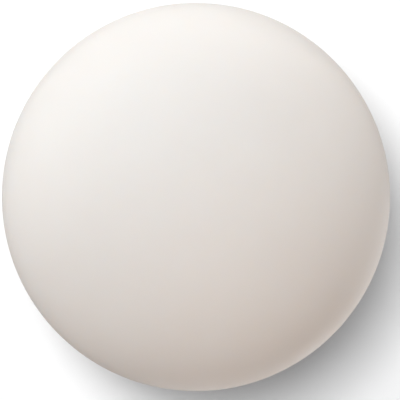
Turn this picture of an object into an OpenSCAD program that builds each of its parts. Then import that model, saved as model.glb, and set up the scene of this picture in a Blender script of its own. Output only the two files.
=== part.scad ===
// Cue ball of the kind made for coin-operated pool tables, cast in three pours.
// The inner core is plain resin. The iron layer is resin filled with iron powder, so that a
// magnet in the table's ball return can draw this ball aside from the others. The outer shell is
// white resin, ground and polished to the finished size.
// Each layer is cast straight onto the one inside it, so neighbours share one round surface.
// The origin is the centre of the ball. All sizes are in millimetres.

/* [Ball] */
// Diameter of the finished ball
ball_d = 57.15; // [47.6:0.05:61.5]
// Thickness of the white outer shell
shell_wall = 5.7; // [3:0.1:9]

/* [Iron layer] */
// Thickness of the iron-filled layer under the shell
layer_wall = 1.5; // [0.8:0.1:4]

/* [Hidden] */
// Outside radius of each layer, from the surface inwards
shell_r = ball_d / 2;
layer_r = shell_r - shell_wall;
core_r = layer_r - layer_wall;
$fn = 128;

// A closed round wall between two radii about the ball's centre
module round_wall(outer_r, inner_r) {
    difference() {
        sphere(r = outer_r);
        sphere(r = inner_r);
    }
}

// White resin shell, the only piece that shows
module outer_shell() {
    color("ivory") round_wall(shell_r, layer_r);
}

// Resin filled with iron powder, cast over the core
module iron_layer() {
    color("dimgray") round_wall(layer_r, core_r);
}

// Solid resin core
module inner_core() {
    color("wheat") sphere(r = core_r);
}

outer_shell();
iron_layer();
inner_core();
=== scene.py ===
import math

import bpy
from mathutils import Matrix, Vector


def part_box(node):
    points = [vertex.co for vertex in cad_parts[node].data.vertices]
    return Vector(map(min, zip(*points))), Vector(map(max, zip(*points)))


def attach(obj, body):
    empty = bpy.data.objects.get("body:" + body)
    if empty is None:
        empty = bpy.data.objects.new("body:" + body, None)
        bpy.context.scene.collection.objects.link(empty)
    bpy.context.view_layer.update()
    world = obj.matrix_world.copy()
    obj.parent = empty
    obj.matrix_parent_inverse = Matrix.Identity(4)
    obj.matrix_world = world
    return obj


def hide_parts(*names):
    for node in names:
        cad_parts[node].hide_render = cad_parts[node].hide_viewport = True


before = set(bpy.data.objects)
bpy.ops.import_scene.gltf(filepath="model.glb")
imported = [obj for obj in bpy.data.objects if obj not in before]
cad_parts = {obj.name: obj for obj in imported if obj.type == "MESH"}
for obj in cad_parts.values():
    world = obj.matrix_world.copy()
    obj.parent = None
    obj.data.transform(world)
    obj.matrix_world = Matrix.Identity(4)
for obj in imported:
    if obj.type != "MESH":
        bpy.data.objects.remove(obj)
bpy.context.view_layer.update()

# The looks of a cue ball: its polished resin shell, the two layers cast inside it, and a plain
# studio that shows it from straight above. Lengths are in metres and angles in degrees.

MM = 0.001
MICRON = 0.000001

# Sizes of the ball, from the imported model
ball_radius = max(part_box("outer_shell")[1])
cavity_radius = max(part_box("iron_layer")[1])
table_height = -ball_radius

# Quads along each edge of the cube that the shell's mesh is spread from
SHELL_QUADS = 84

# The ball's outline in the photograph, in pixels of a 400 x 400 picture
PICTURE_PX = 400
OUTLINE_CENTRE_PX = (196.0, 197.0)
OUTLINE_RADIUS_PX = 194.1


class Signal:
    """A socket in a node tree. Arithmetic on it adds Math nodes, and node() adds any other kind."""

    def __init__(self, tree, socket):
        self.tree = tree
        self.socket = socket

    def node(self, kind, settings=None, inputs=None, output=0):
        """Adds a node: its settings first, then the values or links of its sockets by identifier."""
        made = self.tree.nodes.new(kind)
        for name, setting in (settings or {}).items():
            setattr(made, name, setting)
        sockets = {socket.identifier: socket for socket in made.inputs}
        for name, value in (inputs or {}).items():
            if isinstance(value, Signal):
                self.tree.links.new(value.socket, sockets[name])
            else:
                sockets[name].default_value = value
        return Signal(self.tree, made.outputs[output])

    def math(self, operation, first, second):
        operands = {"Value": first, "Value_001": second}
        return self.node("ShaderNodeMath", {"operation": operation}, operands)

    def __add__(self, other):
        return self.math("ADD", self, other)

    __radd__ = __add__

    def __sub__(self, other):
        return self.math("SUBTRACT", self, other)

    def __rsub__(self, other):
        return self.math("SUBTRACT", other, self)

    def __mul__(self, other):
        return self.math("MULTIPLY", self, other)

    __rmul__ = __mul__


# Finishes

# The two shades that each finish varies between
SHELL_WHITE = ((0.66, 0.62, 0.58), (0.68, 0.64, 0.6))
IRON_GREY = ((0.085, 0.08, 0.076), (0.3, 0.29, 0.28))
CORE_CREAM = ((0.6, 0.5, 0.37), (0.72, 0.62, 0.47))
TABLE_WHITE = ((0.94, 0.94, 0.94), (0.96, 0.96, 0.96))

# How much finer noise is laid over a pattern
SMOOTH = 1.0
CLOUDY = 3.0
STREAKY = 4.0

# Noise levels between which a polishing mark, a speck of iron or a pore sets in
MARK_EDGE = (0.68, 0.78)
SPECK_EDGE = (0.58, 0.66)
PORE_EDGE = (0.66, 0.72)

# Polishing marks in three directions: the turns of their planes, their length and their width
POLISHING_MARKS = (
    ((20, 35, 0), 14 * MM, 0.16 * MM),
    ((80, -25, 40), 18 * MM, 0.2 * MM),
    ((-50, 60, 15), 11 * MM, 0.14 * MM),
)

# Place of the colour among the outputs of a Mix node
MIXED_COLOUR = 2


class Finish:
    """A material with one Principled surface, and the object coordinates that its patterns read."""

    def __init__(self, name):
        self.material = bpy.data.materials.new(name)
        self.material.use_nodes = True
        self.tree = self.material.node_tree
        self.surface = self.tree.nodes["Principled BSDF"]
        coordinates = self.tree.nodes.new("ShaderNodeTexCoord")
        self.place = Signal(self.tree, coordinates.outputs["Object"])

    def set(self, socket, value):
        """Links a pattern to a socket of the surface, or sets the socket to a plain value."""
        if isinstance(value, Signal):
            self.tree.links.new(value.socket, self.surface.inputs[socket])
        else:
            self.surface.inputs[socket].default_value = value

    def noise(self, grain, detail, place=None):
        """Soft noise from 0 to 1 whose features are about one grain across."""
        return self.place.node(
            "ShaderNodeTexNoise",
            None,
            {"Vector": place or self.place, "Scale": 1 / grain, "Detail": detail},
        )

    def ramp(self, signal, low, high):
        """A smooth step from 0 at low to 1 at high."""
        return signal.node(
            "ShaderNodeMapRange",
            {"interpolation_type": "SMOOTHSTEP"},
            {"Value": signal, "From Min": low, "From Max": high},
        )

    def mix(self, share, first, second):
        """One colour turning into another as share goes from 0 to 1."""
        return self.place.node(
            "ShaderNodeMix",
            {"data_type": "RGBA"},
            {"Factor_Float": share, "A_Color": (*first, 1), "B_Color": (*second, 1)},
            MIXED_COLOUR,
        )

    def bump(self, height, depth):
        """Surface relief, as deep as depth for each 1 of height."""
        relief = {"Height": height, "Distance": depth, "Strength": 1.0}
        return height.node("ShaderNodeBump", None, relief)


def hairlines(finish, turns, length, width):
    """Fine straight polishing marks from 0 to 1, on planes that are turned by three angles."""
    stretched = finish.place.node(
        "ShaderNodeMapping",
        {"vector_type": "TEXTURE"},
        {
            "Vector": finish.place,
            "Rotation": tuple(math.radians(angle) for angle in turns),
            "Scale": (length, length, width),
        },
    )
    streaks = finish.noise(1.0, SMOOTH, stretched)
    return finish.ramp(streaks, *MARK_EDGE)


def polished_resin():
    """White cast resin, ground round and polished, with faint clouding and hairline marks."""
    satin = 0.42
    cloud_dulling = 0.04
    mark_dulling = 0.08
    mark_depth = 0.3
    finish = Finish("polished_resin")
    clouds = finish.noise(9 * MM, CLOUDY)
    ripple = finish.noise(2.5 * MM, SMOOTH)
    first, second, third = (hairlines(finish, *mark) for mark in POLISHING_MARKS)
    marks = first + second + third
    finish.set("Base Color", finish.mix(clouds, *SHELL_WHITE))
    finish.set("Roughness", satin + cloud_dulling * clouds + mark_dulling * marks)
    finish.set("Normal", finish.bump(ripple - mark_depth * marks, 3 * MICRON))
    finish.set("IOR", 1.5)
    finish.set("Specular IOR Level", 0.1)
    finish.set("Subsurface Weight", 0.25)
    finish.set("Subsurface Radius", (1.0, 0.7, 0.5))
    finish.set("Subsurface Scale", 1 * MM)
    return finish.material


def iron_filled_resin():
    """Dark resin packed with iron powder, so that bright specks of metal show in it."""
    dull = 0.7
    clump_dulling = 0.15
    speck_shine = 0.25
    speck_metal = 0.8
    speck_height = 0.4
    finish = Finish("iron_filled_resin")
    specks = finish.ramp(finish.noise(0.35 * MM, SMOOTH), *SPECK_EDGE)
    clumps = finish.noise(4 * MM, CLOUDY)
    finish.set("Base Color", finish.mix(specks, *IRON_GREY))
    finish.set("Metallic", speck_metal * specks)
    finish.set("Roughness", dull + clump_dulling * clumps - speck_shine * specks)
    finish.set("Normal", finish.bump(clumps + speck_height * specks, 40 * MICRON))
    return finish.material


def core_resin():
    """Plain cream resin as it comes from the mould, with slow streaks and small pores."""
    dull = 0.68
    streak_dulling = 0.1
    pore_dulling = 0.1
    pore_depth = 0.5
    finish = Finish("core_resin")
    streaks = finish.noise(6 * MM, STREAKY)
    pores = finish.ramp(finish.noise(0.8 * MM, SMOOTH), *PORE_EDGE)
    finish.set("Base Color", finish.mix(streaks, *CORE_CREAM))
    finish.set("Roughness", dull + streak_dulling * streaks + pore_dulling * pores)
    finish.set("Normal", finish.bump(streaks - pore_depth * pores, 60 * MICRON))
    return finish.material


def white_tabletop():
    """Pale matt board under the ball."""
    matt = 0.85
    grain_dulling = 0.1
    finish = Finish("white_tabletop")
    grain = finish.noise(3 * MM, CLOUDY)
    finish.set("Base Color", finish.mix(grain, *TABLE_WHITE))
    finish.set("Roughness", matt + grain_dulling * grain)
    finish.set("Specular IOR Level", 0.0)
    return finish.material


# The shell

def ball_wall_tree(finish):
    """Nodes that make a closed round wall: a fine skin outside, and the face of its cavity inside."""
    tree = bpy.data.node_groups.new("ball_wall", "GeometryNodeTree")
    sizes = {"Ball Radius": "Float", "Cavity Radius": "Float", "Quads": "Int"}
    for name, kind in sizes.items():
        tree.interface.new_socket(name, in_out="INPUT", socket_type="NodeSocket" + kind)
    tree.interface.new_socket("Wall", in_out="OUTPUT", socket_type="NodeSocketGeometry")
    given = tree.nodes.new("NodeGroupInput")
    radius, cavity, quads = (Signal(tree, given.outputs[name]) for name in sizes)

    # A cube from -1 to 1 whose faces are split into quads, and its corners' angles from -45 to 45
    # degrees, spread by the tangent so that the quads end up alike in size
    points = quads + 1
    counts = {axis: points for axis in ("Vertices X", "Vertices Y", "Vertices Z")}
    cube = radius.node("GeometryNodeMeshCube", None, {"Size": (2, 2, 2), **counts})
    corner = radius.node("GeometryNodeInputPosition")
    eighth_turn = {"Vector": corner, "Scale": math.pi / 4}
    angle = radius.node("ShaderNodeVectorMath", {"operation": "SCALE"}, eighth_turn)
    spread = radius.node("ShaderNodeVectorMath", {"operation": "TANGENT"}, {"Vector": angle})
    outward = radius.node("ShaderNodeVectorMath", {"operation": "NORMALIZE"}, {"Vector": spread})

    def round_face(distance):
        place = radius.node(
            "ShaderNodeVectorMath", {"operation": "SCALE"}, {"Vector": outward, "Scale": distance}
        )
        face = radius.node("GeometryNodeSetPosition", None, {"Geometry": cube, "Position": place})
        return radius.node("GeometryNodeSetShadeSmooth", None, {"Geometry": face})

    skin = round_face(radius)
    lining = radius.node("GeometryNodeFlipFaces", None, {"Mesh": round_face(cavity)})
    join = tree.nodes.new("GeometryNodeJoinGeometry")
    tree.links.new(lining.socket, join.inputs["Geometry"])
    tree.links.new(skin.socket, join.inputs["Geometry"])
    wall = Signal(tree, join.outputs["Geometry"])
    wall = wall.node("GeometryNodeRealizeInstances", None, {"Geometry": wall})
    wall = wall.node("GeometryNodeSetMaterial", None, {"Geometry": wall, "Material": finish})
    result = tree.nodes.new("NodeGroupOutput")
    tree.links.new(wall.socket, result.inputs["Wall"])
    return tree


def grown(name, tree, values):
    """Runs a node tree with the given input values, and returns its result as a plain mesh object."""
    seed = bpy.data.objects.new(name + "_seed", bpy.data.meshes.new(name + "_seed"))
    bpy.context.scene.collection.objects.link(seed)
    modifier = seed.modifiers.new(name, "NODES")
    modifier.node_group = tree
    for socket in tree.interface.items_tree:
        if socket.in_out == "INPUT":
            modifier[socket.identifier] = values[socket.name]
    evaluated = seed.evaluated_get(bpy.context.evaluated_depsgraph_get())
    mesh = bpy.data.meshes.new_from_object(evaluated)
    mesh.name = name
    while mesh.materials[0] is None:
        mesh.materials.pop(index=0)
    bpy.data.objects.remove(seed)
    piece = bpy.data.objects.new(name, mesh)
    bpy.context.scene.collection.objects.link(piece)
    return piece


shell_sizes = {"Ball Radius": ball_radius, "Cavity Radius": cavity_radius, "Quads": SHELL_QUADS}
shell = grown("polished_shell", ball_wall_tree(polished_resin()), shell_sizes)
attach(shell, "root")
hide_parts("outer_shell")


# The layers inside, which keep their own meshes

def dress(node, material):
    """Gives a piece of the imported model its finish."""
    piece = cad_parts[node]
    piece.data.materials.clear()
    piece.data.materials.append(material)


dress("iron_layer", iron_filled_resin())
dress("inner_core", core_resin())


# The studio

TABLE_WIDTH = 16.0
CAMERA_HEIGHT = 0.5
SENSOR_WIDTH_MM = 36.0
LIGHT_DISTANCE = 6.0
KEY_DIAMETER = 2.0
PANEL_SIZE = (3.5, 2.25)
GLOW_DIAMETER = 3.25
STOP_CORNERS = 64
STOP_DEPTH = 1 * MM

# Where lights stand: the azimuth of the lit side, and elevations above or below the horizon
LIT_SIDE = 128
WARM_ELEVATION = 25
RING_ELEVATION = -12
RIM_ELEVATION = -40
UNDER_ELEVATION = -60

# How bright the surroundings are as a light and as the camera sees them, and each light of the rim
SKY_LEVEL = 0.273
SKY_SEEN = 1.4
RIM_LEVEL = 0.27

WHITE = (1.0, 1.0, 1.0)
PALE_BLUE = (0.905, 0.952, 1.0)
COOL = (0.47, 0.75, 1.0)
WARM = (1.0, 0.4, 0.0)


def tabletop():
    """A wide flat board that touches the ball's lowest point."""
    half = TABLE_WIDTH / 2
    corners = [(-half, -half), (half, -half), (half, half), (-half, half)]
    mesh = bpy.data.meshes.new("tabletop")
    mesh.from_pydata([(x, y, table_height) for x, y in corners], [], [(0, 1, 2, 3)])
    mesh.materials.append(white_tabletop())
    table = bpy.data.objects.new("tabletop", mesh)
    bpy.context.scene.collection.objects.link(table)
    table.visible_glossy = False


def light_stop(name, reach):
    """A round plate just under the table, which keeps light from below off the foot of the ball.

    Its reach is its radius in radii of the ball.
    """
    radius = reach * ball_radius
    height = table_height - STOP_DEPTH
    turns = [math.tau * index / STOP_CORNERS for index in range(STOP_CORNERS)]
    rim = [(radius * math.cos(turn), radius * math.sin(turn), height) for turn in turns]
    mesh = bpy.data.meshes.new(name)
    mesh.from_pydata(rim, [], [tuple(range(STOP_CORNERS))])
    plate = bpy.data.objects.new(name, mesh)
    bpy.context.scene.collection.objects.link(plate)
    plate.visible_camera = False
    plate.visible_diffuse = False
    plate.visible_glossy = False
    return plate


def white_room():
    """Even pale surroundings that give a little cool light, and look fully white to the camera."""
    world = bpy.data.worlds.new("white_room")
    world.use_nodes = True
    tree = world.node_tree
    seen = Signal(tree, tree.nodes.new("ShaderNodeLightPath").outputs["Is Camera Ray"])
    strength = SKY_LEVEL + (SKY_SEEN - SKY_LEVEL) * seen
    background = tree.nodes["Background"]
    background.inputs["Color"].default_value = (*PALE_BLUE, 1)
    tree.links.new(strength.socket, background.inputs["Strength"])
    bpy.context.scene.world = world
    world.cycles_visibility.glossy = False


def towards(azimuth, elevation):
    """Unit vector with that angle anticlockwise from +X, and that height above the horizon."""
    level = math.cos(math.radians(elevation))
    return Vector((
        level * math.cos(math.radians(azimuth)),
        level * math.sin(math.radians(azimuth)),
        math.sin(math.radians(elevation)),
    ))


def soft_light(name, shape, size, place, colour, level):
    """A soft light that faces the ball. Level is how bright it makes a white card that faces it."""
    lamp = bpy.data.lights.new(name, "AREA")
    lamp.shape = shape
    lamp.size, lamp.size_y = size
    lamp.color = colour
    lamp.energy = level * (math.pi * place.length) ** 2
    light = bpy.data.objects.new(name, lamp)
    light.location = place
    light.rotation_euler = place.to_track_quat("Z", "Y").to_euler()
    light.visible_camera = False
    light.visible_glossy = False
    bpy.context.scene.collection.objects.link(light)
    return light


def round_light(name, azimuth, elevation, diameter, colour, level):
    """A soft round light in that direction from the ball."""
    place = towards(azimuth, elevation) * LIGHT_DISTANCE
    return soft_light(name, "DISK", (diameter, diameter), place, colour, level)


def standing_panel(name, azimuth, colour, level):
    """A panel whose foot is on the table."""
    place = towards(azimuth, 0) * LIGHT_DISTANCE
    place.z = table_height + PANEL_SIZE[1] / 2
    soft_light(name, "RECTANGLE", PANEL_SIZE, place, colour, level)


def ball_glow(name, azimuth, elevation, colour, level, stop=None):
    """A wide soft light that falls on the ball alone, past a light stop where it comes from below."""
    light = round_light(name, azimuth, elevation, GLOW_DIAMETER, colour, level)
    blockers = bpy.data.collections.new(name + "_blockers")
    blockers.objects.link(shell)
    if stop:
        blockers.objects.link(stop)
    light.light_linking.receiver_collection = ball_alone
    light.light_linking.blocker_collection = blockers
    return light


def camera_above():
    """A long lens straight above the ball, placed so that its outline falls as in the photograph."""
    lens = bpy.data.cameras.new("camera_above")
    lens.sensor_width = SENSOR_WIDTH_MM
    reach = math.sqrt(CAMERA_HEIGHT ** 2 - ball_radius ** 2)
    focal_px = OUTLINE_RADIUS_PX * reach / ball_radius
    lens.lens = lens.sensor_width * focal_px / PICTURE_PX
    camera = bpy.data.objects.new("camera_above", lens)
    metres_per_px = CAMERA_HEIGHT / focal_px
    camera.location = (
        (PICTURE_PX / 2 - OUTLINE_CENTRE_PX[0]) * metres_per_px,
        (OUTLINE_CENTRE_PX[1] - PICTURE_PX / 2) * metres_per_px,
        CAMERA_HEIGHT,
    )
    bpy.context.scene.collection.objects.link(camera)
    bpy.context.scene.camera = camera


tabletop()
white_room()
ball_alone = bpy.data.collections.new("ball_alone")
ball_alone.objects.link(shell)
wide_stop = light_stop("wide_stop", reach=3)
middle_stop = light_stop("middle_stop", reach=1.8)
near_stop = light_stop("near_stop", reach=1.25)

# The lights that cast the shadow
round_light("key_high", LIT_SIDE, elevation=78, diameter=KEY_DIAMETER, colour=WHITE, level=0.595)
round_light("key_low", LIT_SIDE, elevation=66, diameter=KEY_DIAMETER, colour=WHITE, level=0.218)
standing_panel("panel_up", azimuth=95, colour=WHITE, level=0.172)

# Cool light on the lit side and warm light round the shaded one
ball_glow("cool_side", LIT_SIDE, elevation=65, colour=COOL, level=0.17)
ball_glow("warm_foot", azimuth=263, elevation=WARM_ELEVATION, colour=WARM, level=0.109)
ball_glow("warm_right", azimuth=353, elevation=WARM_ELEVATION, colour=WARM, level=0.073)

# Low light round the lit half, and lower light along its rim
for azimuth, level in ((38, 0.124), (LIT_SIDE, 0.327), (173, 0.112)):
    ball_glow(f"low_ring_{azimuth}", azimuth, RING_ELEVATION, WHITE, level, wide_stop)
for azimuth in (38, 83, 173):
    ball_glow(f"rim_ring_{azimuth}", azimuth, RIM_ELEVATION, WHITE, RIM_LEVEL, middle_stop)

# Light from under the shaded edge, the only light that the polish mirrors
for azimuth, level in ((284, 0.106), (333, 0.122)):
    edge_light = ball_glow(f"under_edge_{azimuth}", azimuth, UNDER_ELEVATION, WHITE, level, near_stop)
    edge_light.visible_glossy = True

bpy.context.scene.view_settings.view_transform = "Standard"
camera_above()
